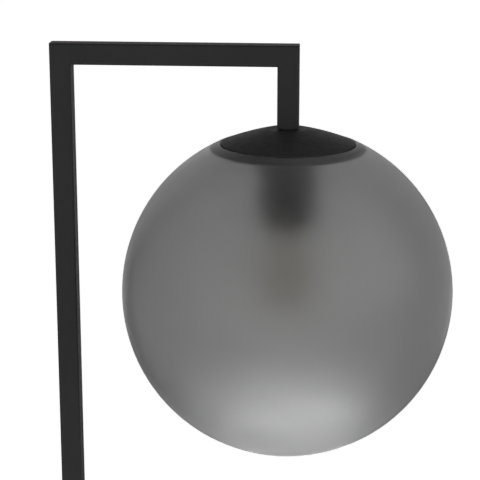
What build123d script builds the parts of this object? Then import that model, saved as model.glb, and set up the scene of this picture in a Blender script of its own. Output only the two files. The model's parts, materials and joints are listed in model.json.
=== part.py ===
from build123d import *
import os
from math import cos, pi, radians, sin, sqrt

os.makedirs("parts", exist_ok=True)

# Millimetres. Z is up, the floor is Z = 0 and the origin is the middle of the round base.
# X points from the post towards the globe.

# Square tube frame
HEIGHT = 1500.0
TUBE = 19.0
TUBE_WALL = 1.5
TUBE_CORNER = 2.0
POST_INSET = 50.0
REACH = 202.0
DROP = 73.2
SEAM_Z = 760.0

# Joiner inside the post at its seam, and its screws on the far side from the globe
JOINER_HALF = 60.0
JOINER_GAP = 0.1
JOINER_WALL = 1.5
JOINER_CORNER = 0.8
JOINER_SCREW_Z = (15.0, 45.0)
JOINER_SCREW_R = 2.0
JOINER_SCREW_HOLE_GAP = 0.15
JOINER_SCREW_PAST = 0.6
JOINER_HEAD_R = 3.5
JOINER_HEAD_T = 2.2
JOINER_HEAD_ROUND = 1.4
JOINER_SOCKET = 2.5
JOINER_SOCKET_DEPTH = 1.3

# Base
BASE_R = 150.0
BASE_TOP = 22.0
COVER_WALL = 1.5
COVER_EDGE = 3.0
COVER_INNER_EDGE = 1.5
COVER_POST_GAP = 0.3
PAD_R = 10.0
PAD_T = 3.0
PAD_INSET = 28.0
PAD_COUNT = 4
PLATE_T = 2.0
PLATE_EDGE_GAP = 0.8
WEIGHT_EDGE_GAP = 7.5

# Threaded bosses under the cover and the screws that clamp plate, weight and cover
BOSS_R = 4.5
BOSS_LENGTH = 9.0
BOSS_GAP = 0.5
BOSS_INSET = 38.0
BOSS_COUNT = 3
COVER_SCREW_R = 2.0
COVER_SCREW_HOLE_GAP = 0.2
COVER_SCREW_TIP_GAP = 1.0
COVER_SCREW_BITE = 6.5
COVER_HEAD_R = 3.8
COVER_HEAD_T = 2.1
COVER_HEAD_ROUND = 1.2
COVER_SOCKET = 2.5
COVER_SOCKET_DEPTH = 1.3

# Flange at the foot of the post
FLANGE = 64.0
FLANGE_T = 5.0
FLANGE_GAP = 0.5
FLANGE_TOP_GAP = 0.3
FLANGE_BORE_R = 7.0
FLANGE_SCREW_PITCH = 44.0
FLANGE_SCREW_R = 3.0
FLANGE_SCREW_HOLE_GAP = 0.25
FLANGE_SCREW_TIP_GAP = 0.5
FLANGE_HEAD_R = 5.25
FLANGE_HEAD_T = 3.3
FLANGE_HEAD_GAP = 1.2
FLANGE_HEAD_ROUND = 2.0
FLANGE_SOCKET = 4.0
FLANGE_SOCKET_DEPTH = 2.0

# Channel for the wiring in the weight and the terminal block in its pocket
WIRE_HOLE_R = 8.0
CHANNEL_W = 9.0
TERMINAL_FROM_FLANGE = 3.5
TERMINAL_L = 28.0
TERMINAL_W = 18.0
TERMINAL_H = 11.0
TERMINAL_GAP = 1.5
TERMINAL_ROOF = 2.5
TERMINAL_SCREW_R = 2.2
TERMINAL_SCREW_T = 6.0
TERMINAL_SCREW_SUNK = 0.4
TERMINAL_SCREW_PITCH_X = 12.0
TERMINAL_SCREW_PITCH_Y = 8.0

# Cord gland in the rear wall of the cover
GLAND_LIFT = 6.5
GLAND_R = 4.2
GLAND_BORE_R = 3.2
GLAND_FLANGE_R = 6.5
GLAND_FLANGE_T = 2.5
GLAND_INSIDE = 8.0
GLAND_NUT_ACROSS = 10.0
GLAND_NUT_T = 3.5
GLAND_NUT_GAP = 0.3

# Lead inside the tubes and its two cores in the lamp holder
LEAD_R = 2.2
LEAD_LIFT = 4.6
LEAD_FOOT_BEND = 12.0
LEAD_BEND = 14.0
LEAD_PAST_NIPPLE = 4.5
CORE_R = 0.7
CORE_OFFSET = 1.1
CORE_BEND = 1.6
CORE_DROP = 4.0

# Globe
GLOBE_R = 150.0
GLOBE_WALL = 2.5
LIP_ROUND = 1.5
LIP_INNER_ROUND = 0.3

# Domed lid, slightly pointed, in the mouth of the globe
LID_CURVE_R = 283.0
LID_POINT = 45.5
LID_RIM_R = 60.0
LID_FLAT_MARGIN = 4.5
LID_T = 1.5
LID_ROUND = 0.7
LID_GAP = 0.4
LID_SINK = 0.25

# Edge gasket of the globe
GASKET_REACH = 8.3
GASKET_T = 1.8
GASKET_LIP = 2.9

# Plug in the drop, washer that leaves a thin gap over the lid, and the stack on the hollow threaded nipple
PLUG_L = 14.0
PLUG_GAP = 0.1
PLUG_CORNER = 0.8
LID_WASHER_R = 7.5
LID_WASHER_T = 1.4
NIPPLE_R = 5.0
NIPPLE_BORE_R = 3.5
NIPPLE_UP = 12.0
NIPPLE_HOLE_GAP = 0.15
NIPPLE_BITE = 9.0
SPACER_R = 9.0
SPACER_L = 12.0
CARRIER_GAP = 4.5
CARRIER_T = 2.0
WASHER_R = 9.0
WASHER_T = 1.0
NUT_ACROSS = 14.0
NUT_T = 4.0

# Spring clips under the carrier
CLIP_COUNT = 3
CLIP_W = 12.0
CLIP_T = 0.6
CLIP_ROOT = 15.0
CLIP_FLAT_END = 3.0
CLIP_ELBOW_OUT = 0.5
CLIP_ELBOW_DROP = 5.0
CLIP_REACH = 5.6
CLIP_TIP_GAP = 0.12
RIVET_R = 1.6
RIVET_HEAD_R = 3.0
RIVET_HEAD_T = 1.2
RIVET_INSET = 9.0

# Lamp holder
CUP_R = 25.6
CUP_WALL = 1.2
CUP_L = 71.0
HOLDER_R = 19.5
HOLDER_FALL = 4.6
HOLDER_H = 32.0
ENTRY_DEPTH = 10.0
CAVITY_H = 14.0
CAVITY_GAP = 0.6
SKIRT_L = 32.0
SHELL_L = 28.0
SHELL_INNER_R = 13.5
SHELL_WALL = 0.5
THREAD_PITCH = 3.629
THREAD_DEPTH = 0.6
CONTACT_DROP = 8.7
CONTACT_R = 5.0
CONTACT_T = 1.0
PIN_R = 1.8
PIN_UP = 3.0

# Bulb, from its contact down
BULB_GAP = 0.3
BULB_LENGTH = 105.0
BULB_R = 30.0
BULB_GLASS = 1.0
BUTTON_R = 4.5
BUTTON_T = 1.5
INSULATOR_H = 2.5
CAP_GAP = 0.4
CAP_WALL = 0.4
CAP_SHOULDER_R = 9.0
CAP_SHOULDER_H = 3.0
CAP_THREAD_L = 15.0
CAP_COLLAR_GAP = 1.0
CAP_COLLAR_H = 4.0
STEM_R = 4.0
STEM_L = 36.0
STEM_FLARE_T = 1.5
FILAMENT_COUNT = 4
FILAMENT_R = 0.9
FILAMENT_L = 30.0
FILAMENT_RING_R = 9.0
WIRE_R = 0.3
WIRE_UP = 4.0
WIRE_ON_STEM = 2.0
WIRE_DOWN = 2.5
WIRE_BEND = 1.0

# Sizes of the frame and the base that follow from the values above
post_x = POST_INSET - BASE_R
inner_tube = TUBE - 2 * TUBE_WALL
half = TUBE / 2
arm_z = HEIGHT - half
globe_x = post_x + REACH
drop_end = HEIGHT - DROP
plate_top = PAD_T + PLATE_T
cover_under = BASE_TOP - COVER_WALL
cover_inner_r = BASE_R - COVER_WALL
flange_top = cover_under - FLANGE_TOP_GAP
flange_seat = flange_top - FLANGE_T
gland_z = plate_top + GLAND_LIFT
lead_z = plate_top + LEAD_LIFT

# Heights of the globe and lid, from the middle of the globe
globe_inner_r = GLOBE_R - GLOBE_WALL
mouth_r = LID_RIM_R + LID_GAP
mouth_outer = sqrt(GLOBE_R**2 - mouth_r**2)
mouth_inner = sqrt(globe_inner_r**2 - mouth_r**2)
lid_flat_r = TUBE / sqrt(2) + LID_FLAT_MARGIN
lid_inner_r = LID_CURVE_R - LID_T
lid_rim_reach = LID_RIM_R + LID_POINT
lid_rim_top = mouth_outer - LID_SINK
lid_centre = lid_rim_top - sqrt(LID_CURVE_R**2 - lid_rim_reach**2)
lid_rim_low = lid_centre + sqrt(lid_inner_r**2 - lid_rim_reach**2)
lid_flat = lid_centre + sqrt(LID_CURVE_R**2 - (lid_flat_r + LID_POINT) ** 2)
lid_under = lid_flat - LID_T
plug_foot = lid_flat + LID_WASHER_T
lid_inner_flat_r = sqrt(lid_inner_r**2 - (lid_under - lid_centre) ** 2) - LID_POINT
globe_z = drop_end - plug_foot
gasket_top = lid_rim_low - LID_GAP
gasket_low = gasket_top - GASKET_T
gasket_lip_r = mouth_r - GASKET_LIP
gasket_reach_r = mouth_r + GASKET_REACH
gasket_under_r = globe_inner_r - GASKET_T

# Heights of the stack, the lamp holder and the bulb, from the middle of the globe
carrier_r = gasket_lip_r - CARRIER_GAP
carrier_top = lid_under - SPACER_L
carrier_under = carrier_top - CARRIER_T
cup_inside_top = carrier_under - CUP_WALL
cup_rim = carrier_under - CUP_L
washer_under = cup_inside_top - WASHER_T
nut_under = washer_under - NUT_T
nipple_hole_r = NIPPLE_R + NIPPLE_HOLE_GAP
holder_top = nut_under - HOLDER_FALL
holder_floor = holder_top - HOLDER_H
cavity_top = holder_top - ENTRY_DEPTH
cavity_floor = cavity_top - CAVITY_H
nipple_end = holder_top - NIPPLE_BITE
lead_end = nipple_end - LEAD_PAST_NIPPLE
core_level = lead_end - CORE_DROP
shell_root_r = SHELL_INNER_R + THREAD_DEPTH
shell_outer_r = shell_root_r + SHELL_WALL
side_pin_x = shell_root_r + SHELL_WALL / 2
cavity_r = side_pin_x + PIN_R + CAVITY_GAP
pin_top = cavity_floor + PIN_UP
contact_under = holder_floor - CONTACT_DROP
bulb_top = contact_under - BULB_GAP
bulb_low = bulb_top - BULB_LENGTH
bulb_middle = bulb_low + BULB_R
button_low = bulb_top - BUTTON_T
cap_shoulder = button_low - INSULATOR_H
cap_thread_top = cap_shoulder - CAP_SHOULDER_H
cap_thread_low = cap_thread_top - CAP_THREAD_L
collar_top = cap_thread_low - CAP_COLLAR_GAP
bulb_neck = collar_top - CAP_COLLAR_H
cap_r = SHELL_INNER_R - CAP_GAP
neck_r = cap_r - CAP_WALL
stem_end = collar_top - STEM_L
wire_top = stem_end + WIRE_ON_STEM
filament_top = wire_top - WIRE_UP
filament_low = filament_top - FILAMENT_L
wire_low = filament_low - WIRE_DOWN


def save(node, shape):
    export_step(shape, "parts/" + node + ".step")


def group(solids):
    return Compound(children=list(solids))


def rod(radius, z0, z1, x=0.0, y=0.0):
    base = (Align.CENTER, Align.CENTER, Align.MIN)
    return Pos(x, y, z0) * Cylinder(radius, z1 - z0, align=base)


def rod_x(radius, x0, x1, y, z):
    base = (Align.CENTER, Align.CENTER, Align.MIN)
    return Pos(x0, y, z) * Rot(0, 90, 0) * Cylinder(radius, x1 - x0, align=base)


def block(x0, x1, y0, y1, z0, z1):
    middle = Pos((x0 + x1) / 2, (y0 + y1) / 2, (z0 + z1) / 2)
    return middle * Box(x1 - x0, y1 - y0, z1 - z0)


def flat(points):
    # Closed outline in the XZ plane
    return make_face(Polyline(*[(x, 0, z) for x, z in points], close=True))


def turned(points):
    return revolve(flat(points), Axis.Z)


def turned_edges(*edges):
    return revolve(make_face(edges), Axis.Z)


def line(*points):
    return Polyline(*[(x, 0, z) for x, z in points])


def sphere_height(radius, r):
    return sqrt(radius**2 - r**2)


def arc(radius, centre, r0, r1, beyond=0.0):
    # Arc about a point on the axis, or beyond it, upper side, from radius r0 to radius r1
    points = [(r, 0, centre + sphere_height(radius, r + beyond)) for r in (r0, (r0 + r1) / 2, r1)]
    return ThreePointArc(*points)


def around(solid, count, start=0.0):
    return [Rot(0, 0, start + 360 / count * k) * solid for k in range(count)]


def ring_points(radius, count, start=0.0):
    angles = [radians(start + 360 / count * k) for k in range(count)]
    return [(radius * cos(a), radius * sin(a)) for a in angles]


def square_tube(size, wall, corner, length):
    outline = RectangleRounded(size, size, corner)
    hollow = Rectangle(size - 2 * wall, size - 2 * wall)
    return extrude(outline - hollow, amount=length)


def prism(points):
    return extrude(flat(points), amount=TUBE, dir=(0, 1, 0), both=True)


def thread_line(crest_r, root_r, z0, z1):
    # Zigzag of ring-shaped threads from z0 to z1, starting and ending on a root
    turns = int(abs(z1 - z0) / THREAD_PITCH)
    step = (z1 - z0) / (2 * turns)
    return [(root_r if k % 2 == 0 else crest_r, z0 + k * step) for k in range(2 * turns + 1)]


def thick_line(points, thickness):
    # Outline of a bent strip around its middle line
    normals = []
    for (x0, z0), (x1, z1) in zip(points, points[1:]):
        length = sqrt((x1 - x0) ** 2 + (z1 - z0) ** 2)
        normals.append(((z0 - z1) / length, (x1 - x0) / length))
    joints = [normals[0]]
    for (ax, az), (bx, bz) in zip(normals, normals[1:]):
        scale = 1 + ax * bx + az * bz
        joints.append(((ax + bx) / scale, (az + bz) / scale))
    joints.append(normals[-1])
    t = thickness / 2
    upper = [(x + t * nx, z + t * nz) for (x, z), (nx, nz) in zip(points, joints)]
    lower = [(x - t * nx, z - t * nz) for (x, z), (nx, nz) in zip(points, joints)]
    return upper + lower[::-1]


def wire(radius, points, bends):
    path = FilletPolyline(*points, radius=bends)
    return sweep(Plane(origin=path @ 0, z_dir=path % 0) * Circle(radius), path=path)


def screw_up(radius, length, head_r, head_t, head_round, socket, socket_depth):
    # Screw on Z, thread upwards, with a rounded head below zero and a hexagon socket in it
    head = rod(head_r, -head_t, 0)
    head = fillet(head.edges().group_by(Axis.Z)[0], head_round)
    recess = extrude(RegularPolygon(socket / 2, 6, major_radius=False), amount=socket_depth)
    return head + rod(radius, 0, length) - Pos(0, 0, -head_t) * recess


def on_head(shape):
    return Pos(globe_x, 0, globe_z) * shape


# Base: pads, plate, weight, cover and their screws
pad_spots = [(0, 0), *ring_points(BASE_R - PAD_INSET, PAD_COUNT, 180 / PAD_COUNT)]
boss_spots = ring_points(BASE_R - BOSS_INSET, BOSS_COUNT)
pitch = FLANGE_SCREW_PITCH / 2
flange_spots = [(post_x + sx * pitch, sy * pitch) for sx in (-1, 1) for sy in (-1, 1)]

save("foot_pads", group(rod(PAD_R, 0, PAD_T, x, y) for x, y in pad_spots))

plate = rod(cover_inner_r - PLATE_EDGE_GAP, PAD_T, plate_top)
for x, y in boss_spots:
    plate -= rod(COVER_SCREW_R + COVER_SCREW_HOLE_GAP, PAD_T, plate_top, x, y)
save("base_plate", plate)

flange_half = FLANGE / 2 + FLANGE_GAP
terminal_x = post_x + flange_half + TERMINAL_FROM_FLANGE
terminal_x1 = terminal_x + TERMINAL_L
terminal_top = cover_under - TERMINAL_ROOF
pocket_half = TERMINAL_W / 2 + TERMINAL_GAP
head_top = plate_top + FLANGE_HEAD_T + FLANGE_HEAD_GAP
weight = rod(cover_inner_r - WEIGHT_EDGE_GAP, plate_top, cover_under)
weight -= block(
    post_x - flange_half, post_x + flange_half, -flange_half, flange_half, flange_seat, cover_under
)
weight -= rod(WIRE_HOLE_R, plate_top, flange_seat, post_x)
weight -= block(-BASE_R, terminal_x, -CHANNEL_W / 2, CHANNEL_W / 2, plate_top, flange_seat)
weight -= block(
    terminal_x - TERMINAL_GAP,
    terminal_x1 + TERMINAL_GAP,
    -pocket_half,
    pocket_half,
    plate_top,
    terminal_top,
)
for x, y in flange_spots:
    weight -= rod(FLANGE_SCREW_R + FLANGE_SCREW_HOLE_GAP, plate_top, flange_seat, x, y)
    weight -= rod(FLANGE_HEAD_R + FLANGE_HEAD_GAP, plate_top, head_top, x, y)
for x, y in boss_spots:
    weight -= rod(BOSS_R + BOSS_GAP, plate_top, cover_under, x, y)
save("base_weight", weight)

post_hole = half + COVER_POST_GAP
cover = rod(BASE_R, PAD_T, BASE_TOP)
cover = fillet(cover.edges().group_by(Axis.Z)[-1], COVER_EDGE)
inside = rod(cover_inner_r, PAD_T, cover_under)
inside = fillet(inside.edges().group_by(Axis.Z)[-1], COVER_INNER_EDGE)
cover -= inside
cover -= block(post_x - post_hole, post_x + post_hole, -post_hole, post_hole, cover_under, BASE_TOP)
cover -= rod_x(GLAND_R, -BASE_R, -BASE_R + GLAND_INSIDE, 0, gland_z)
boss_low = cover_under - BOSS_LENGTH
for x, y in boss_spots:
    cover += rod(BOSS_R, boss_low, cover_under, x, y)
for x, y in boss_spots:
    cover -= rod(COVER_SCREW_R, boss_low, boss_low + COVER_SCREW_BITE + COVER_SCREW_TIP_GAP, x, y)
save("base_cover", cover)

screw = screw_up(
    COVER_SCREW_R,
    boss_low + COVER_SCREW_BITE - PAD_T,
    COVER_HEAD_R,
    COVER_HEAD_T,
    COVER_HEAD_ROUND,
    COVER_SOCKET,
    COVER_SOCKET_DEPTH,
)
save("cover_screws", group(Pos(x, y, PAD_T) * screw for x, y in boss_spots))

# Foot of the post
flange = block(post_x - FLANGE / 2, post_x + FLANGE / 2, -FLANGE / 2, FLANGE / 2, flange_seat, flange_top)
flange -= rod(FLANGE_BORE_R, flange_seat, flange_top, post_x)
for x, y in flange_spots:
    flange -= rod(FLANGE_SCREW_R, flange_seat, flange_top, x, y)
save("post_flange", flange)

screw = screw_up(
    FLANGE_SCREW_R,
    flange_top - FLANGE_SCREW_TIP_GAP - head_top,
    FLANGE_HEAD_R,
    FLANGE_HEAD_T,
    FLANGE_HEAD_ROUND,
    FLANGE_SOCKET,
    FLANGE_SOCKET_DEPTH,
)
save("flange_screws", group(Pos(x, y, head_top) * screw for x, y in flange_spots))

# Terminal block with its screws facing down
terminal_low = terminal_top - TERMINAL_H
terminal = block(terminal_x, terminal_x1, -TERMINAL_W / 2, TERMINAL_W / 2, terminal_low, terminal_top)
terminal_middle = terminal_x + TERMINAL_L / 2
sx = TERMINAL_SCREW_PITCH_X / 2
sy = TERMINAL_SCREW_PITCH_Y / 2
terminal_spots = [(terminal_middle + a * sx, b * sy) for a in (-1, 1) for b in (-1, 1)]
screw_low = terminal_low + TERMINAL_SCREW_SUNK
for x, y in terminal_spots:
    terminal -= rod(TERMINAL_SCREW_R, terminal_low, screw_low + TERMINAL_SCREW_T, x, y)
save("terminal_block", terminal)
screws = [rod(TERMINAL_SCREW_R, screw_low, screw_low + TERMINAL_SCREW_T, x, y) for x, y in terminal_spots]
save("terminal_screws", group(screws))

# Cord gland and its nut
gland = rod_x(GLAND_R, -BASE_R, -BASE_R + GLAND_INSIDE, 0, gland_z)
gland += rod_x(GLAND_FLANGE_R, -BASE_R - GLAND_FLANGE_T, -BASE_R, 0, gland_z)
gland -= rod_x(GLAND_BORE_R, -BASE_R - GLAND_FLANGE_T, -BASE_R + GLAND_INSIDE, 0, gland_z)
save("cord_gland", gland)
nut_x = -BASE_R + COVER_WALL + GLAND_NUT_GAP
hexagon = RegularPolygon(GLAND_NUT_ACROSS / 2, 6, major_radius=False) - Circle(GLAND_R)
save("gland_nut", Pos(nut_x, 0, gland_z) * Rot(0, 90, 0) * extrude(hexagon, amount=GLAND_NUT_T))

# Post in two lengths with a joiner, arm and drop with mitred corners
long_tube = square_tube(TUBE, TUBE_WALL, TUBE_CORNER, HEIGHT)
post = Pos(post_x, 0, 0) * long_tube
left = post_x - half
right = post_x + half
screw_levels = [SEAM_Z + s * z for s in (-1, 1) for z in JOINER_SCREW_Z]
for z in screw_levels:
    post -= rod_x(JOINER_SCREW_R + JOINER_SCREW_HOLE_GAP, left, left + TUBE_WALL, 0, z)
lower = [(left, flange_top), (right, flange_top), (right, SEAM_Z), (left, SEAM_Z)]
upper = [(left, SEAM_Z), (right, SEAM_Z), (right, HEIGHT - TUBE), (left, HEIGHT)]
save("post_lower", post & prism(lower))
save("post_upper", post & prism(upper))

joiner_size = inner_tube - 2 * JOINER_GAP
joiner = square_tube(joiner_size, JOINER_WALL, JOINER_CORNER, 2 * JOINER_HALF)
joiner = Pos(post_x, 0, SEAM_Z - JOINER_HALF) * joiner
joiner_x = post_x - joiner_size / 2
for z in screw_levels:
    joiner -= rod_x(JOINER_SCREW_R, joiner_x, joiner_x + JOINER_WALL, 0, z)
save("post_joiner", joiner)
screw = screw_up(
    JOINER_SCREW_R,
    joiner_x + JOINER_WALL + JOINER_SCREW_PAST - left,
    JOINER_HEAD_R,
    JOINER_HEAD_T,
    JOINER_HEAD_ROUND,
    JOINER_SOCKET,
    JOINER_SOCKET_DEPTH,
)
save("joiner_screws", group(Pos(left, 0, z) * Rot(0, 90, 0) * screw for z in screw_levels))

far = globe_x + half
near = globe_x - half
arm = Pos(left, 0, arm_z) * Rot(0, 90, 0) * square_tube(TUBE, TUBE_WALL, TUBE_CORNER, far - left)
save("arm", arm & prism([(left, HEIGHT), (far, HEIGHT), (near, HEIGHT - TUBE), (right, HEIGHT - TUBE)]))
drop = Pos(globe_x, 0, 0) * long_tube
save("drop", drop & prism([(near, HEIGHT - TUBE), (far, HEIGHT), (far, drop_end), (near, drop_end)]))

# Lead from the terminal block to the lamp holder
lead_points = [
    (terminal_x, 0, lead_z),
    (post_x, 0, lead_z),
    (post_x, 0, arm_z),
    (globe_x, 0, arm_z),
    (globe_x, 0, globe_z + lead_end),
]
save("lead", wire(LEAD_R, lead_points, [LEAD_FOOT_BEND, LEAD_BEND, LEAD_BEND]))
straight_core = rod(CORE_R, pin_top, lead_end, -CORE_OFFSET)
core_points = [
    (CORE_OFFSET, 0, lead_end),
    (CORE_OFFSET, 0, core_level),
    (side_pin_x, 0, core_level),
    (side_pin_x, 0, pin_top),
]
save("lead_cores", on_head(group([straight_core, wire(CORE_R, core_points, [CORE_BEND, CORE_BEND])])))

# Plug in the drop, washer, nipple and the stack that hangs on it
plug_size = inner_tube - 2 * PLUG_GAP
plug = extrude(RectangleRounded(plug_size, plug_size, PLUG_CORNER) - Circle(NIPPLE_R), amount=PLUG_L)
save("drop_plug", on_head(Pos(0, 0, plug_foot) * plug))
lid_washer = rod(LID_WASHER_R, lid_flat, plug_foot) - rod(nipple_hole_r, lid_flat, plug_foot)
save("lid_washer", on_head(lid_washer))
nipple_top = lid_flat + NIPPLE_UP
nipple = rod(NIPPLE_R, nipple_end, nipple_top) - rod(NIPPLE_BORE_R, nipple_end, nipple_top)
save("nipple", on_head(nipple))

lid = turned_edges(
    line((nipple_hole_r, lid_under), (nipple_hole_r, lid_flat), (lid_flat_r, lid_flat)),
    arc(LID_CURVE_R, lid_centre, lid_flat_r, LID_RIM_R, LID_POINT),
    line((LID_RIM_R, lid_rim_top), (LID_RIM_R, lid_rim_low)),
    arc(lid_inner_r, lid_centre, LID_RIM_R, lid_inner_flat_r, LID_POINT),
    line((lid_inner_flat_r, lid_under), (nipple_hole_r, lid_under)),
)
circles = lid.edges().filter_by(GeomType.CIRCLE)
rim_edges = [edge for edge in circles if abs(edge.radius - LID_RIM_R) < LID_ROUND]
save("lid", on_head(fillet(rim_edges, LID_ROUND)))

spacer = rod(SPACER_R, carrier_top, lid_under) - rod(nipple_hole_r, carrier_top, lid_under)
save("spacer", on_head(spacer))

rivet_ring_r = carrier_r - RIVET_INSET
carrier = rod(carrier_r, carrier_under, carrier_top) - rod(nipple_hole_r, carrier_under, carrier_top)
for x, y in ring_points(rivet_ring_r, CLIP_COUNT, 180 / CLIP_COUNT):
    carrier -= rod(RIVET_R, carrier_under, carrier_top, x, y)
save("globe_carrier", on_head(carrier))

clip_flat = carrier_under - CLIP_T / 2
clip_tip_r = mouth_r + CLIP_REACH
clip_tip = sphere_height(gasket_under_r, clip_tip_r) - CLIP_TIP_GAP - CLIP_T / 2
clip_points = [
    (carrier_r - CLIP_ROOT, clip_flat),
    (carrier_r - CLIP_FLAT_END, clip_flat),
    (carrier_r + CLIP_ELBOW_OUT, gasket_low - CLIP_ELBOW_DROP),
    (clip_tip_r, clip_tip),
]
clip = extrude(flat(thick_line(clip_points, CLIP_T)), amount=CLIP_W / 2, dir=(0, 1, 0), both=True)
clip -= rod(RIVET_R, carrier_under - CLIP_T, carrier_under, rivet_ring_r)
save("globe_clips", on_head(group(around(clip, CLIP_COUNT, 180 / CLIP_COUNT))))
rivet_low = carrier_under - CLIP_T
rivet = rod(RIVET_R, rivet_low, carrier_top, rivet_ring_r)
rivet += rod(RIVET_HEAD_R, carrier_top, carrier_top + RIVET_HEAD_T, rivet_ring_r)
rivet += rod(RIVET_HEAD_R, rivet_low - RIVET_HEAD_T, rivet_low, rivet_ring_r)
save("clip_rivets", on_head(group(around(rivet, CLIP_COUNT, 180 / CLIP_COUNT))))

washer = rod(WASHER_R, washer_under, cup_inside_top) - rod(nipple_hole_r, washer_under, cup_inside_top)
save("lock_washer", on_head(washer))
hexagon = RegularPolygon(NUT_ACROSS / 2, 6, major_radius=False) - Circle(NIPPLE_R)
save("stack_nut", on_head(Pos(0, 0, nut_under) * extrude(hexagon, amount=NUT_T)))

# Lamp holder
cup = rod(CUP_R, cup_rim, carrier_under) - rod(CUP_R - CUP_WALL, cup_rim, cup_inside_top)
cup -= rod(nipple_hole_r, cup_inside_top, carrier_under)
save("holder_cup", on_head(cup))

body = rod(HOLDER_R, holder_floor, holder_top)
body -= rod(NIPPLE_R, cavity_top, holder_top)
body -= rod(cavity_r, cavity_floor, cavity_top)
body -= rod(PIN_R, holder_floor, cavity_floor)
body -= rod(PIN_R, holder_floor, cavity_floor, side_pin_x)
save("holder_body", on_head(body))

skirt_low = holder_floor - SKIRT_L
skirt = rod(HOLDER_R, skirt_low, holder_floor) - rod(shell_outer_r, skirt_low, holder_floor)
save("holder_skirt", on_head(skirt))

inner_line = thread_line(SHELL_INNER_R, shell_root_r, holder_floor - SHELL_L, holder_floor)
outer_line = [(r + SHELL_WALL, z) for r, z in reversed(inner_line)]
shell = turned(inner_line + outer_line)
save("screw_shell", on_head(shell))

contact = rod(CONTACT_R, contact_under, contact_under + CONTACT_T)
contact += rod(PIN_R, contact_under + CONTACT_T, pin_top)
save("centre_contact", on_head(contact))
save("side_contact", on_head(rod(PIN_R, holder_floor, pin_top, side_pin_x)))

# Globe and its edge gasket
globe = turned_edges(
    ThreePointArc((mouth_r, 0, mouth_outer), (GLOBE_R, 0, 0), (0, 0, -GLOBE_R)),
    line((0, -GLOBE_R), (0, -globe_inner_r)),
    ThreePointArc((0, 0, -globe_inner_r), (globe_inner_r, 0, 0), (mouth_r, 0, mouth_inner)),
    line((mouth_r, mouth_inner), (mouth_r, mouth_outer)),
)
mouth_edges = globe.edges().filter_by(GeomType.CIRCLE).sort_by(Axis.Z)[-2:]
globe = fillet(mouth_edges[1], LIP_ROUND)
mouth_edges = globe.edges().filter_by(GeomType.CIRCLE).sort_by(Axis.Z)
inner_edges = [edge for edge in mouth_edges if abs(edge.center().Z - mouth_inner) < LIP_INNER_ROUND / 2]
save("globe_glass", on_head(fillet(inner_edges, LIP_INNER_ROUND)))

reach_z = sphere_height(globe_inner_r, gasket_reach_r)
under_end_r = gasket_reach_r * gasket_under_r / globe_inner_r
under_z = sphere_height(gasket_under_r, mouth_r)
gasket = turned_edges(
    line(
        (mouth_r, under_z),
        (gasket_lip_r, gasket_low),
        (gasket_lip_r, gasket_top),
        (mouth_r, gasket_top),
        (mouth_r, mouth_inner),
    ),
    arc(globe_inner_r, 0, mouth_r, gasket_reach_r),
    line((gasket_reach_r, reach_z), (under_end_r, sphere_height(gasket_under_r, under_end_r))),
    arc(gasket_under_r, 0, under_end_r, mouth_r),
)
save("globe_gasket", on_head(gasket))

# Bulb
save("bulb_contact", on_head(rod(BUTTON_R, button_low, bulb_top)))
insulator = turned(
    [(0, cap_shoulder - CAP_WALL), (CAP_SHOULDER_R, cap_shoulder - CAP_WALL), (CAP_SHOULDER_R, cap_shoulder)]
    + [(BUTTON_R, button_low), (0, button_low)]
)
save("bulb_insulator", on_head(insulator))

cap_thread = thread_line(cap_r, cap_r - THREAD_DEPTH, cap_thread_top, cap_thread_low)
cap_outer = [(CAP_SHOULDER_R, cap_shoulder)] + cap_thread + [(cap_r, collar_top), (cap_r, bulb_neck)]
cap_inner = [(r - CAP_WALL, z) for r, z in reversed(cap_outer[1:])]
cap = turned(cap_outer + cap_inner + [(CAP_SHOULDER_R, cap_shoulder - CAP_WALL)])
save("bulb_cap", on_head(cap))

glass_r = BULB_R - BULB_GLASS
inner_neck_r = neck_r - BULB_GLASS
upward = [(0, 0, 1), (0, 0, 1)]
lower_outer = ThreePointArc(
    (0, 0, bulb_low),
    (BULB_R * sin(pi / 4), 0, bulb_middle - BULB_R * cos(pi / 4)),
    (BULB_R, 0, bulb_middle),
)
lower_inner = ThreePointArc(
    (0, 0, bulb_low + BULB_GLASS),
    (glass_r * sin(pi / 4), 0, bulb_middle - glass_r * cos(pi / 4)),
    (glass_r, 0, bulb_middle),
)
envelope = turned_edges(
    lower_outer,
    Spline((BULB_R, 0, bulb_middle), (neck_r, 0, bulb_neck), tangents=upward),
    line((neck_r, bulb_neck), (neck_r, collar_top), (inner_neck_r, collar_top), (inner_neck_r, bulb_neck)),
    Spline((glass_r, 0, bulb_middle), (inner_neck_r, 0, bulb_neck), tangents=upward),
    lower_inner,
    line((0, bulb_low + BULB_GLASS), (0, bulb_low)),
)
save("bulb_envelope", on_head(envelope))

stem = rod(STEM_R, stem_end, collar_top) + rod(inner_neck_r, collar_top - STEM_FLARE_T, collar_top)
save("bulb_stem", on_head(stem))

filament = rod(FILAMENT_R, filament_low, filament_top, FILAMENT_RING_R)
save("bulb_filaments", on_head(group(around(filament, FILAMENT_COUNT))))

upper_wire = wire(
    WIRE_R,
    [(FILAMENT_RING_R, 0, filament_top), (FILAMENT_RING_R, 0, wire_top), (STEM_R, 0, wire_top)],
    [WIRE_BEND],
)
lower_wire = wire(
    WIRE_R,
    [(FILAMENT_RING_R, 0, filament_low), (FILAMENT_RING_R, 0, wire_low), (0, 0, wire_low)],
    [WIRE_BEND],
)
star = rod(WIRE_R, wire_low, stem_end)
for arm_wire in around(lower_wire, FILAMENT_COUNT):
    star += arm_wire
save("bulb_wires", on_head(group(around(upper_wire, FILAMENT_COUNT) + [star])))
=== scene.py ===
import json
from math import asin, cos, pi, radians, sin, tan

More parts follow.
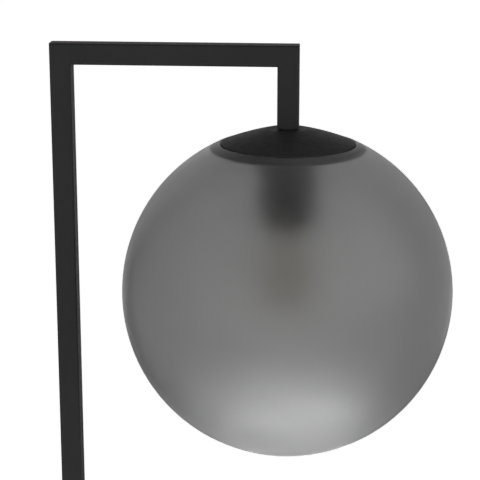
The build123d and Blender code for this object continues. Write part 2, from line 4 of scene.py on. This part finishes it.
import bmesh
import bpy
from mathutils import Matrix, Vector


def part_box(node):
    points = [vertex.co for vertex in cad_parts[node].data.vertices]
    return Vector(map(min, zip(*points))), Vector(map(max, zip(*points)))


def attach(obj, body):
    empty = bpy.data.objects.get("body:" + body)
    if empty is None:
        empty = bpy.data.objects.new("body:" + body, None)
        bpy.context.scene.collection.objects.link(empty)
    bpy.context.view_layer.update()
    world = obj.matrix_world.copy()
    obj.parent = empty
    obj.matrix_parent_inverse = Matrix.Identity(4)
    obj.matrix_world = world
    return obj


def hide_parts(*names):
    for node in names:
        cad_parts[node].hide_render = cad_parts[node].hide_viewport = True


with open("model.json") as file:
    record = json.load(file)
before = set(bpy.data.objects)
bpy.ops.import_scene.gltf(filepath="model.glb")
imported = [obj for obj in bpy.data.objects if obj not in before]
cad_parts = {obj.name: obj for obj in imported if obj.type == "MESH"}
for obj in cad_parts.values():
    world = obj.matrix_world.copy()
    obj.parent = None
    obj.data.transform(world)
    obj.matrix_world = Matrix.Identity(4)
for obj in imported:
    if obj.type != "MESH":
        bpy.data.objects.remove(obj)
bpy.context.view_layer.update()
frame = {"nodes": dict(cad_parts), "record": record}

# Sizes of the globe, in metres; its radius and place are read from the solid
globe_low, globe_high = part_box("globe_glass")
globe_r = (globe_high.x - globe_low.x) / 2
globe_x = (globe_high.x + globe_low.x) / 2
globe_z = globe_low.z + globe_r
GLASS_WALL = 0.0025
MOUTH_R = 0.0604
LIP_ROUND = 0.0015
LIP_INNER_ROUND = 0.0003
LIP_STEPS = 12
GLOBE_SEGMENTS = 256
GLOBE_RINGS = 160

# Camera fitted to the outlines of the tubes, lid and globe, in metres, degrees and millimetres
CAMERA_PLACE = (0.170942, -1.400558, 1.693603)
CAMERA_TILT = 75.183
CAMERA_TURN = 4.566
CAMERA_LENS = 120.23
SENSOR_WIDTH = 36.0

# Light from around that falls on dull surfaces: spans are directions, from -1 to 1
FILL_SPAN = (-0.8, 0.4)
FRONT_FILL = 2.6
BACK_FILL = 0.6
ZENITH_SPAN = (0.0, 0.5)
HORIZON_SHARE = 1.0
ZENITH_SHARE = 0.06

# Surroundings that glossy surfaces mirror: spans are directions, from -1 to 1
SIDE_SPAN = (-0.2, 0.3)
FRONT_LEVEL = 0.15
SIDE_LEVEL = 0.32
RIGHT_SPAN = (0.1, 0.9)
RIGHT_LIFT = 1.2
RIGHT_FADE = (-0.1, 0.35)
BACK_SHIFT = 0.08
BACK_SPAN = (0.12, 0.4)
BACK_LIFT = 0.45
BACK_START = (0.5, 0.8)
BACK_TOP = (0.3, 0.6)
OVERHEAD_SPAN = (0.5, 0.95)
OVERHEAD_SHARE = 0.45

# White background, as seen by the camera and through the glass
BACKGROUND_LEVEL = 1.0

# Floor: half its side, glow away from and near the base, share on dull surfaces, level behind the glass
FLOOR_HALF = 60.0
FLOOR_CELLS = 8
FLOOR_GLOW = 0.86
BASE_GLOW = 0.62
BASE_SPAN = (0.3, 1.0)
FLOOR_BOUNCE = 0.45
FLOOR_THROUGH_GLASS = 0.95

# Floor as glossy surfaces mirror it: spans are places on the floor, in metres
MIRRORED_FLOOR = 0.15
MIRRORED_SWEEP = 1.0
MIDDLE_FADE = (1.0, 3.8)
BESIDE_SPAN = (1.0, 2.6)
SIDE_SWEEP = 0.34
BEHIND_SPAN = (2.0, 4.0)
BEFORE_FADE = (-0.2, 0.3)
FRONT_SWEEP = 0.8

# Small lamp below and behind the globe, and the spot it is aimed at, from the globe's middle in metres
LOW_LAMP_BACK = 0.2
LOW_LAMP_DROP = 0.275
PATCH_LEFT = 0.004
PATCH_FRONT = 0.12
PATCH_DROP = 0.11

# Spans and ends that many remaps share
RISING = (0.0, 1.0)
FALLING = (1.0, 0.0)
NOISE_SPAN = (0.3, 0.7)


# Colours

def tone(red, green, blue):
    return (red, green, blue, 1.0)


def grey(level):
    return tone(level, level, level)


WHITE = grey(1.0)
FLOOR_COLOUR = grey(0.86)
DUST_COLOUR = tone(0.16, 0.155, 0.15)
RUBBED_COAT = tone(0.035, 0.035, 0.036)
SCREW_DARK = tone(0.018, 0.018, 0.02)
SCREW_LIGHT = tone(0.03, 0.03, 0.032)
RUBBED_SCREW = grey(0.12)
IRON_DARK = grey(0.13)
IRON_LIGHT = tone(0.19, 0.185, 0.18)
IRON_PIT = tone(0.07, 0.06, 0.055)
SMOKE_DARK = grey(0.433)
SMOKE_LIGHT = grey(0.453)
SMOKE_PASSED = grey(0.55)


# Helpers for shader nodes

# Socket numbers of the Mix node when it mixes colours
MIX_SHARE = 0
MIX_FIRST = 6
MIX_SECOND = 7
MIX_RESULT = 2


def node(tree, kind, inputs=None, **settings):
    made = tree.nodes.new("ShaderNode" + kind)
    for name, value in settings.items():
        setattr(made, name, value)
    for name, value in (inputs or {}).items():
        socket = made.inputs[name]
        if isinstance(value, bpy.types.NodeSocket):
            tree.links.new(value, socket)
        else:
            socket.default_value = value
    return made


def calc(tree, operation, first, second=0.0):
    made = node(tree, "Math", {0: first, 1: second}, operation=operation)
    return made.outputs[0]


def times(tree, first, second):
    return calc(tree, "MULTIPLY", first, second)


def larger(tree, first, second):
    return calc(tree, "MAXIMUM", first, second)


def remap(tree, value, span, ends):
    inputs = {
        "Value": value,
        "From Min": span[0],
        "From Max": span[1],
        "To Min": ends[0],
        "To Max": ends[1],
    }
    return node(tree, "MapRange", inputs, interpolation_type="SMOOTHSTEP").outputs[0]


def mix_colours(tree, share, first, second):
    inputs = {MIX_SHARE: share, MIX_FIRST: first, MIX_SECOND: second}
    return node(tree, "Mix", inputs, data_type="RGBA").outputs[MIX_RESULT]


def mix_shaders(tree, share, first, second):
    return node(tree, "MixShader", {0: share, 1: first.outputs[0], 2: second.outputs[0]})


def noise(tree, place, size, detail=2.0, rough=0.5):
    inputs = {"Vector": place, "Scale": size, "Detail": detail, "Roughness": rough}
    return node(tree, "TexNoise", inputs).outputs[0]


def object_place(tree):
    return node(tree, "TexCoord").outputs["Object"]


def new_group(name, label, kind, outputs):
    tree = bpy.data.node_groups.new(name, "ShaderNodeTree")
    tree.interface.new_socket(label, in_out="INPUT", socket_type=kind)
    for result in outputs:
        tree.interface.new_socket(result, in_out="OUTPUT", socket_type="NodeSocketFloat")
    start = tree.nodes.new("NodeGroupInput")
    end = tree.nodes.new("NodeGroupOutput")
    return tree, start.outputs[label], end.inputs


def place_group(tree, group, **values):
    made = tree.nodes.new("ShaderNodeGroup")
    made.node_tree = group
    for label, value in values.items():
        made.inputs[label].default_value = value
    return made.outputs


# Shared surface effects: ratios multiply the number of grains or clouds in a metre

FINE_RATIO = 2.7
TONE_RATIO = 0.012
GLOSS_RATIO = 0.09
COARSE_SHARE = 0.7
FINE_SHARE = 0.3
BEVEL_SAMPLES = 4
EDGE_SPAN = (0.8, 0.995)
RUB_SPOTS = 90.0
RUB_SPAN = (0.35, 0.7)
RUB_ENDS = (0.2, 1.0)
DUST_FACING = (0.6, 1.0)
DUST_SPAN = (0.35, 0.75)
DUST_ENDS = (0.25, 1.0)
LINE_SPAN = (0.25, 0.75)
PIT_RATIO = 0.4
PIT_SPAN = (0.05, 0.35)
PIT_DEPTH = 0.5
HAZE_RATIO = 3.0


def make_fine_grain():
    outputs = ("Height", "Tone", "Gloss")
    tree, grains, out = new_group("fine_grain", "Grains", "NodeSocketFloat", outputs)
    place = object_place(tree)
    coarse = noise(tree, place, grains, rough=0.6)
    fine = noise(tree, place, times(tree, grains, FINE_RATIO), detail=1.0)
    height = calc(tree, "ADD", times(tree, coarse, COARSE_SHARE), times(tree, fine, FINE_SHARE))
    shade = noise(tree, place, times(tree, grains, TONE_RATIO), detail=3.0)
    gloss = noise(tree, place, times(tree, grains, GLOSS_RATIO))
    tree.links.new(height, out["Height"])
    tree.links.new(remap(tree, shade, NOISE_SPAN, RISING), out["Tone"])
    tree.links.new(remap(tree, gloss, NOISE_SPAN, RISING), out["Gloss"])
    return tree


def make_rubbed_edge():
    tree, width, out = new_group("rubbed_edge", "Width", "NodeSocketFloat", ("Mask",))
    rounded = node(tree, "Bevel", {"Radius": width}, samples=BEVEL_SAMPLES).outputs[0]
    flat = node(tree, "NewGeometry").outputs["Normal"]
    along = node(tree, "VectorMath", {0: rounded, 1: flat}, operation="DOT_PRODUCT").outputs["Value"]
    edge = remap(tree, along, EDGE_SPAN, FALLING)
    patchy = remap(tree, noise(tree, object_place(tree), RUB_SPOTS, detail=3.0), RUB_SPAN, RUB_ENDS)
    tree.links.new(times(tree, edge, patchy), out["Mask"])
    return tree


def make_settled_dust():
    tree, spots, out = new_group("settled_dust", "Spots", "NodeSocketFloat", ("Mask",))
    normal = node(tree, "NewGeometry").outputs["Normal"]
    upward = node(tree, "SeparateXYZ", {0: normal}).outputs["Z"]
    facing = remap(tree, upward, DUST_FACING, RISING)
    patchy = noise(tree, object_place(tree), spots, detail=4.0, rough=0.6)
    patchy = remap(tree, patchy, DUST_SPAN, DUST_ENDS)
    tree.links.new(times(tree, facing, patchy), out["Mask"])
    return tree


def make_drawn_lines():
    tree, spread, out = new_group("drawn_lines", "Spread", "NodeSocketVector", ("Height", "Tone"))
    place = object_place(tree)
    stretched = node(tree, "VectorMath", {0: place, 1: spread}, operation="MULTIPLY").outputs[0]
    lines = noise(tree, stretched, size=1.0, detail=3.0, rough=0.6)
    tree.links.new(lines, out["Height"])
    tree.links.new(remap(tree, lines, LINE_SPAN, RISING), out["Tone"])
    return tree


def make_cast_skin():
    tree, grains, out = new_group("cast_skin", "Grains", "NodeSocketFloat", ("Height", "Pits"))
    place = object_place(tree)
    sand = noise(tree, place, grains, detail=4.0, rough=0.7)
    cells = node(tree, "TexVoronoi", {"Vector": place, "Scale": times(tree, grains, PIT_RATIO)})
    pits = remap(tree, cells.outputs["Distance"], PIT_SPAN, FALLING)
    tree.links.new(calc(tree, "SUBTRACT", sand, times(tree, pits, PIT_DEPTH)), out["Height"])
    tree.links.new(pits, out["Pits"])
    return tree


def make_glass_cloud():
    tree, clouds, out = new_group("glass_cloud", "Clouds", "NodeSocketFloat", ("Tint", "Haze"))
    place = object_place(tree)
    tint = noise(tree, place, clouds, detail=3.0, rough=0.55)
    haze = noise(tree, place, times(tree, clouds, HAZE_RATIO))
    tree.links.new(remap(tree, tint, NOISE_SPAN, RISING), out["Tint"])
    tree.links.new(remap(tree, haze, NOISE_SPAN, RISING), out["Haze"])
    return tree


fine_grain = make_fine_grain()
rubbed_edge = make_rubbed_edge()
settled_dust = make_settled_dust()
drawn_lines = make_drawn_lines()
cast_skin = make_cast_skin()
glass_cloud = make_glass_cloud()


# Finishes, one for each material slot of the part and one more for the lamp holder, a darker copy of the
# coat that paints shade

COAT_DUST = 0.03
COAT_RUB = 0.25
COAT_ROUGH = (0.52, 0.6)
COAT_POLISH = 0.08
STEEL_REACH = 0.08
SCREW_RUB = 0.5
SCREW_ROUGH = (0.36, 0.48)
IRON_ROUGH = (0.6, 0.8)
MOULDED_REACH = 0.06
SMOKE_ROUGH = (0.366, 0.396)
CLEAR_ROUGH = (0.0, 0.04)


def new_finish(slot, **sockets):
    material = bpy.data.materials.new(slot + "_finish")
    material.use_nodes = True
    tree = material.node_tree
    tree.nodes.clear()
    shader = node(tree, "BsdfPrincipled")
    for label, value in sockets.items():
        shader.inputs[label.replace("_", " ")].default_value = value
    output = node(tree, "OutputMaterial", {"Surface": shader.outputs[0]})
    return material, tree, shader, output


def add_bump(tree, shader, height, strength, distance):
    bump = node(tree, "Bump", {"Height": height, "Strength": strength, "Distance": distance})
    tree.links.new(bump.outputs[0], shader.inputs["Normal"])


def feed(tree, shader, label, value):
    tree.links.new(value, shader.inputs[label])


def black_coat(slot, dark, light):
    material, tree, shader, _ = new_finish(slot, Specular_IOR_Level=0.12)
    grain = place_group(tree, fine_grain, Grains=2200.0)
    edge = place_group(tree, rubbed_edge, Width=0.0006)["Mask"]
    dust = place_group(tree, settled_dust, Spots=55.0)["Mask"]
    coat = mix_colours(tree, grain["Tone"], dark, light)
    coat = mix_colours(tree, times(tree, dust, COAT_DUST), coat, DUST_COLOUR)
    coat = mix_colours(tree, times(tree, edge, COAT_RUB), coat, RUBBED_COAT)
    feed(tree, shader, "Base Color", coat)
    rough = remap(tree, grain["Gloss"], RISING, COAT_ROUGH)
    feed(tree, shader, "Roughness", calc(tree, "SUBTRACT", rough, times(tree, edge, COAT_POLISH)))
    add_bump(tree, shader, grain["Height"], strength=0.12, distance=0.00012)
    return material


def steel(slot, dark, light, spread, rough, bump=0.12):
    material, tree, shader, _ = new_finish(slot, Metallic=1.0)
    lines = place_group(tree, drawn_lines, Spread=spread)
    grain = place_group(tree, fine_grain, Grains=900.0)
    feed(tree, shader, "Base Color", mix_colours(tree, lines["Tone"], dark, light))
    average = times(tree, calc(tree, "ADD", lines["Tone"], grain["Gloss"]), 1 / 2)
    ends = (rough - STEEL_REACH, rough + STEEL_REACH)
    feed(tree, shader, "Roughness", remap(tree, average, RISING, ends))
    add_bump(tree, shader, lines["Height"], strength=bump, distance=0.00006)
    return material


def black_screw():
    material, tree, shader, _ = new_finish("black_screw", Metallic=0.7)
    grain = place_group(tree, fine_grain, Grains=1400.0)
    edge = place_group(tree, rubbed_edge, Width=0.0003)["Mask"]
    oxide = mix_colours(tree, grain["Tone"], SCREW_DARK, SCREW_LIGHT)
    oxide = mix_colours(tree, times(tree, edge, SCREW_RUB), oxide, RUBBED_SCREW)
    feed(tree, shader, "Base Color", oxide)
    feed(tree, shader, "Roughness", remap(tree, grain["Gloss"], RISING, SCREW_ROUGH))
    add_bump(tree, shader, grain["Height"], strength=0.12, distance=0.00008)
    return material


def cast_iron():
    material, tree, shader, _ = new_finish("cast_iron", Metallic=0.5)
    skin = place_group(tree, cast_skin, Grains=420.0)
    grain = place_group(tree, fine_grain, Grains=1200.0)
    iron = mix_colours(tree, grain["Tone"], IRON_DARK, IRON_LIGHT)
    feed(tree, shader, "Base Color", mix_colours(tree, skin["Pits"], iron, IRON_PIT))
    feed(tree, shader, "Roughness", remap(tree, skin["Height"], RISING, IRON_ROUGH))
    add_bump(tree, shader, skin["Height"], strength=0.5, distance=0.0004)
    return material


def moulded(slot, dark, light, grains, rough, level, bump):
    material, tree, shader, _ = new_finish(slot, Specular_IOR_Level=level)
    grain = place_group(tree, fine_grain, Grains=grains)
    feed(tree, shader, "Base Color", mix_colours(tree, grain["Tone"], dark, light))
    ends = (rough - MOULDED_REACH, rough + MOULDED_REACH)
    feed(tree, shader, "Roughness", remap(tree, grain["Gloss"], RISING, ends))
    add_bump(tree, shader, grain["Height"], strength=bump, distance=0.0001)
    return material


def let_lamps_through(tree, shader, output, tint):
    # Lamps light what is behind the glass, as much as the glass lets through
    path = node(tree, "LightPath").outputs
    clear = node(tree, "BsdfTransparent", {"Color": tint})
    both = mix_shaders(tree, path["Is Shadow Ray"], shader, clear)
    tree.links.new(both.outputs[0], output.inputs["Surface"])


def glass(slot, dark, light, passed, clouds, rough, index):
    material, tree, shader, output = new_finish(slot, Transmission_Weight=1.0, IOR=index)
    cloud = place_group(tree, glass_cloud, Clouds=clouds)
    feed(tree, shader, "Base Color", mix_colours(tree, cloud["Tint"], dark, light))
    feed(tree, shader, "Roughness", remap(tree, cloud["Haze"], RISING, rough))
    let_lamps_through(tree, shader, output, passed)
    return material


finishes = {
    "black_coat": black_coat(
        "black_coat", dark=tone(0.029, 0.029, 0.0293), light=tone(0.032, 0.032, 0.0323)
    ),
    # A darker copy of the coat: painted shade for the lamp holder inside the globe
    "shaded_black_coat": black_coat("shaded_black_coat", dark=grey(0.01), light=grey(0.013)),
    "bare_steel": steel(
        "bare_steel",
        dark=tone(0.38, 0.38, 0.39),
        light=grey(0.5),
        spread=(30.0, 2500.0, 2500.0),
        rough=0.38,
    ),
    "zinc_steel": steel(
        "zinc_steel",
        dark=tone(0.56, 0.57, 0.59),
        light=tone(0.68, 0.68, 0.69),
        spread=(400.0, 400.0, 1500.0),
        rough=0.28,
    ),
    "black_screw": black_screw(),
    "spring_steel": steel(
        "spring_steel",
        dark=tone(0.34, 0.34, 0.36),
        light=tone(0.45, 0.45, 0.46),
        spread=(1800.0, 1800.0, 40.0),
        rough=0.3,
    ),
    "cast_iron": cast_iron(),
    "pad_rubber": moulded(
        "pad_rubber", dark=grey(0.016), light=grey(0.028), grains=1100.0, rough=0.78, level=0.3, bump=0.3
    ),
    "gasket_rubber": moulded(
        "gasket_rubber", dark=grey(0.078), light=grey(0.09), grains=1500.0, rough=0.72, level=0.3, bump=0.25
    ),
    "smoked_glass": glass(
        "smoked_glass", SMOKE_DARK, SMOKE_LIGHT, SMOKE_PASSED, clouds=9.0, rough=SMOKE_ROUGH, index=1.46
    ),
    "amber_glass": glass(
        "amber_glass",
        dark=tone(0.85, 0.832, 0.787),
        light=tone(0.865, 0.85, 0.813),
        passed=tone(0.858, 0.841, 0.8),
        clouds=30.0,
        rough=CLEAR_ROUGH,
        index=1.47,
    ),
    "clear_glass": glass(
        "clear_glass",
        dark=tone(0.9, 0.92, 0.91),
        light=tone(0.95, 0.96, 0.955),
        passed=tone(0.92, 0.93, 0.92),
        clouds=30.0,
        rough=CLEAR_ROUGH,
        index=1.5,
    ),
    "brass": steel(
        "brass",
        dark=tone(0.62, 0.44, 0.17),
        light=tone(0.76, 0.58, 0.27),
        spread=(900.0, 900.0, 90.0),
        rough=0.3,
    ),
    "black_plastic": moulded(
        "black_plastic", dark=grey(0.024), light=grey(0.034), grains=1300.0, rough=0.5, level=0.45, bump=0.2
    ),
    "pale_plastic": moulded(
        "pale_plastic",
        dark=tone(0.7, 0.68, 0.63),
        light=tone(0.78, 0.76, 0.71),
        grains=900.0,
        rough=0.45,
        level=0.5,
        bump=0.1,
    ),
    "lead_sheath": moulded(
        "lead_sheath", dark=grey(0.018), light=grey(0.028), grains=900.0, rough=0.55, level=0.4, bump=0.1
    ),
    "lead_core": moulded(
        "lead_core",
        dark=tone(0.2, 0.09, 0.04),
        light=tone(0.28, 0.13, 0.06),
        grains=900.0,
        rough=0.45,
        level=0.5,
        bump=0.1,
    ),
    "bulb_metal": steel(
        "bulb_metal",
        dark=tone(0.62, 0.58, 0.48),
        light=tone(0.74, 0.7, 0.6),
        spread=(300.0, 300.0, 1500.0),
        rough=0.3,
    ),
    "bulb_button": steel(
        "bulb_button",
        dark=tone(0.5, 0.5, 0.48),
        light=tone(0.62, 0.62, 0.6),
        spread=(700.0, 700.0, 700.0),
        rough=0.4,
        bump=0.3,
    ),
    "bulb_black": moulded(
        "bulb_black",
        dark=tone(0.012, 0.012, 0.014),
        light=tone(0.022, 0.022, 0.024),
        grains=700.0,
        rough=0.22,
        level=0.5,
        bump=0.06,
    ),
    "filament_coat": moulded(
        "filament_coat",
        dark=tone(0.72, 0.47, 0.1),
        light=tone(0.86, 0.6, 0.16),
        grains=2500.0,
        rough=0.5,
        level=0.4,
        bump=0.2,
    ),
    "bulb_wire": steel(
        "bulb_wire",
        dark=grey(0.42),
        light=tone(0.54, 0.54, 0.53),
        spread=(2000.0, 2000.0, 60.0),
        rough=0.32,
    ),
}

for part in frame["record"]["subparts"]:
    solid = frame["nodes"][part["node"]]
    solid.data.materials.clear()
    solid.data.materials.append(finishes[part["material_slot"]])

# The cup and skirt of the lamp holder take a darker copy of the tubes' coat: painted shade for their place
# inside the globe
for name in ("holder_cup", "holder_skirt"):
    frame["nodes"][name].data.materials[0] = finishes["shaded_black_coat"]


# Mesh helpers

ON_AXIS = 1e-7


def new_piece(name, mesh, body, slot, *nodes):
    piece = bpy.data.objects.new(name, mesh)
    bpy.context.scene.collection.objects.link(piece)
    mesh.materials.append(finishes[slot])
    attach(piece, body)
    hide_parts(*nodes)


def lathe(name, outline, segments, centre):
    # Turns an outline of (radius, height) points round the Z axis; points on the axis become poles
    mesh = bpy.data.meshes.new(name)
    build = bmesh.new()
    rings = []
    for radius, height in outline:
        level = centre[2] + height
        if radius < ON_AXIS:
            rings.append([build.verts.new((centre[0], centre[1], level))])
            continue
        ring = []
        for k in range(segments):
            turn = 2 * pi * k / segments
            place = (centre[0] + radius * cos(turn), centre[1] + radius * sin(turn), level)
            ring.append(build.verts.new(place))
        rings.append(ring)
    for first, second in zip(rings, rings[1:]):
        for k in range(segments):
            after = (k + 1) % segments
            if len(first) == 1:
                build.faces.new((first[0], second[after], second[k]))
            elif len(second) == 1:
                build.faces.new((first[k], first[after], second[0]))
            else:
                build.faces.new((first[k], first[after], second[after], second[k]))
    bmesh.ops.recalc_face_normals(build, faces=build.faces)
    build.to_mesh(mesh)
    build.free()
    mesh.shade_smooth()
    return mesh


# Globe: one blown shell with a rounded lip at its mouth

def softened_corner(before, corner, after, radius, steps):
    # Points of an arc that rounds a corner between two straight stretches
    corner = Vector(corner)
    back = (Vector(before) - corner).normalized()
    ahead = (Vector(after) - corner).normalized()
    half = back.angle(ahead) / 2
    middle = corner + (back + ahead).normalized() * radius / sin(half)
    start = (corner + back * radius / tan(half) - middle).normalized()
    end = (corner + ahead * radius / tan(half) - middle).normalized()
    return [tuple(middle + start.slerp(end, k / steps) * radius) for k in range(steps + 1)]


def globe_outline():
    inner_r = globe_r - GLASS_WALL
    outer_edge = asin(MOUTH_R / globe_r)
    inner_edge = asin(MOUTH_R / inner_r)
    outside = []
    inside = []
    for k in range(1, GLOBE_RINGS):
        outer = pi - (pi - outer_edge) * k / GLOBE_RINGS
        inner = inner_edge + (pi - inner_edge) * k / GLOBE_RINGS
        outside.append((globe_r * sin(outer), globe_r * cos(outer)))
        inside.append((inner_r * sin(inner), inner_r * cos(inner)))
    high_corner = (MOUTH_R, globe_r * cos(outer_edge))
    low_corner = (MOUTH_R, inner_r * cos(inner_edge))
    high_arc = softened_corner(outside[-1], high_corner, low_corner, LIP_ROUND, LIP_STEPS)
    low_arc = softened_corner(high_corner, low_corner, inside[0], LIP_INNER_ROUND, LIP_STEPS)
    return [(0.0, -globe_r), *outside, *high_arc, *low_arc, *inside, (0.0, -inner_r)]


globe_mesh = lathe("globe_shell", globe_outline(), GLOBE_SEGMENTS, (globe_x, 0.0, globe_z))
new_piece("globe_shell", globe_mesh, "globe", "smoked_glass", "globe_glass")


# Floor, light and camera

def make_floor():
    mesh = bpy.data.meshes.new("floor")
    build = bmesh.new()
    bmesh.ops.create_grid(build, x_segments=FLOOR_CELLS, y_segments=FLOOR_CELLS, size=FLOOR_HALF)
    build.to_mesh(mesh)
    build.free()
    floor = bpy.data.objects.new("floor", mesh)
    bpy.context.scene.collection.objects.link(floor)
    material = bpy.data.materials.new("pale_floor")
    material.use_nodes = True
    tree = material.node_tree
    tree.nodes.clear()
    path = node(tree, "LightPath").outputs
    place = node(tree, "NewGeometry").outputs["Position"]
    spot = node(tree, "SeparateXYZ", {0: place}).outputs

    # What the camera sees of the floor, and what the floor gives to dull surfaces
    away = node(tree, "VectorMath", {0: place}, operation="LENGTH").outputs["Value"]
    level = remap(tree, away, BASE_SPAN, (BASE_GLOW, FLOOR_GLOW))
    seen = larger(tree, times(tree, path["Is Diffuse Ray"], FLOOR_BOUNCE), path["Is Camera Ray"])
    lit = node(tree, "BsdfDiffuse", {"Color": FLOOR_COLOUR})
    glow = node(tree, "Emission", {"Color": WHITE, "Strength": times(tree, seen, level)})
    direct = node(tree, "AddShader", {0: lit.outputs[0], 1: glow.outputs[0]})

    # What shows through the glass, and what glossy surfaces mirror
    aside = calc(tree, "ABSOLUTE", spot["X"])
    middle = remap(tree, aside, MIDDLE_FADE, FALLING)
    beside = remap(tree, aside, BESIDE_SPAN, (0.0, SIDE_SWEEP))
    behind = remap(tree, spot["Y"], BEHIND_SPAN, RISING)
    before = remap(tree, spot["Y"], BEFORE_FADE, (FRONT_SWEEP, 0.0))
    sweep = larger(tree, times(tree, middle, larger(tree, behind, before)), beside)
    mirrored = remap(tree, sweep, RISING, (MIRRORED_FLOOR, MIRRORED_SWEEP))
    through = times(tree, path["Is Transmission Ray"], FLOOR_THROUGH_GLASS)
    through = larger(tree, through, times(tree, path["Is Glossy Ray"], mirrored))
    echo = node(tree, "Emission", {"Color": WHITE, "Strength": through})

    share = larger(tree, path["Is Glossy Ray"], path["Is Transmission Ray"])
    both = mix_shaders(tree, share, direct, echo)
    node(tree, "OutputMaterial", {"Surface": both.outputs[0]})
    mesh.materials.append(material)


def make_world():
    world = bpy.data.worlds.new("studio")
    world.use_nodes = True
    tree = world.node_tree
    tree.nodes.clear()
    path = node(tree, "LightPath").outputs
    look = node(tree, "SeparateXYZ", {0: node(tree, "TexCoord").outputs["Generated"]}).outputs

    # Soft light from the front and the horizon
    fill = remap(tree, look["Y"], FILL_SPAN, (FRONT_FILL, BACK_FILL))
    fill = times(tree, fill, remap(tree, look["Z"], ZENITH_SPAN, (HORIZON_SHARE, ZENITH_SHARE)))

    # Pale surroundings for glossy surfaces, lifted at the front right and behind
    ahead = remap(tree, look["Y"], SIDE_SPAN, (FRONT_LEVEL, SIDE_LEVEL))
    right = remap(tree, look["X"], RIGHT_SPAN, (0.0, RIGHT_LIFT))
    right = times(tree, right, remap(tree, look["Y"], RIGHT_FADE, FALLING))
    aside = calc(tree, "ABSOLUTE", calc(tree, "ADD", look["X"], BACK_SHIFT))
    behind = remap(tree, aside, BACK_SPAN, (BACK_LIFT, 0.0))
    behind = times(tree, behind, remap(tree, look["Y"], BACK_START, RISING))
    behind = times(tree, behind, remap(tree, look["Z"], BACK_TOP, FALLING))
    depth = calc(tree, "ADD", calc(tree, "ADD", ahead, right), behind)
    depth = times(tree, depth, remap(tree, look["Z"], OVERHEAD_SPAN, (1.0, OVERHEAD_SHARE)))

    ambient = node(tree, "Background", {"Color": WHITE, "Strength": fill})
    mirrored = node(tree, "Background", {"Color": WHITE, "Strength": depth})
    white = node(tree, "Background", {"Color": WHITE, "Strength": BACKGROUND_LEVEL})
    unseen = mix_shaders(tree, path["Is Glossy Ray"], ambient, mirrored)
    seen = larger(tree, path["Is Camera Ray"], path["Is Transmission Ray"])
    both = mix_shaders(tree, seen, unseen, white)
    node(tree, "OutputWorld", {"Surface": both.outputs[0]})
    bpy.context.scene.world = world


def soft_lamp(name, place, target, width, depth, power, spread=180.0):
    lamp = bpy.data.lights.new(name, "AREA")
    lamp.shape = "RECTANGLE"
    lamp.size = width
    lamp.size_y = depth
    lamp.energy = power
    lamp.spread = radians(spread)
    holder = bpy.data.objects.new(name, lamp)
    holder.location = place
    holder.rotation_euler = (Vector(target) - Vector(place)).to_track_quat("-Z", "Y").to_euler()
    holder.visible_camera = False
    bpy.context.scene.collection.objects.link(holder)
    return holder


def make_camera():
    lens = bpy.data.cameras.new("camera")
    lens.sensor_width = SENSOR_WIDTH
    lens.lens = CAMERA_LENS
    camera = bpy.data.objects.new("camera", lens)
    camera.location = CAMERA_PLACE
    camera.rotation_euler = (radians(CAMERA_TILT), 0.0, radians(CAMERA_TURN))
    bpy.context.scene.collection.objects.link(camera)
    bpy.context.scene.camera = camera


make_floor()
make_world()
soft_lamp("overhead_lamp", place=(0.9, 0.3, 3.2), target=(0.0, 0.0, 1.1), width=1.8, depth=1.8, power=1.5)

base_lamp = soft_lamp(
    "base_lamp",
    place=(-0.95, 0.75, 1.0),
    target=(0.0, 0.0, 0.0),
    width=0.8,
    depth=0.8,
    power=4.0,
    spread=40.0,
)
base_lamp.visible_glossy = False
base_lamp.visible_transmission = False

# This lamp makes the bright patch low on the glass
low_lamp = soft_lamp(
    "low_lamp",
    place=(globe_x, LOW_LAMP_BACK, globe_z - LOW_LAMP_DROP),
    target=(globe_x - PATCH_LEFT, -PATCH_FRONT, globe_z - PATCH_DROP),
    width=0.165,
    depth=0.05,
    power=0.0322,
    spread=30.0,
)
low_lamp.visible_glossy = False

make_camera()
bpy.context.scene.view_settings.view_transform = "Standard"
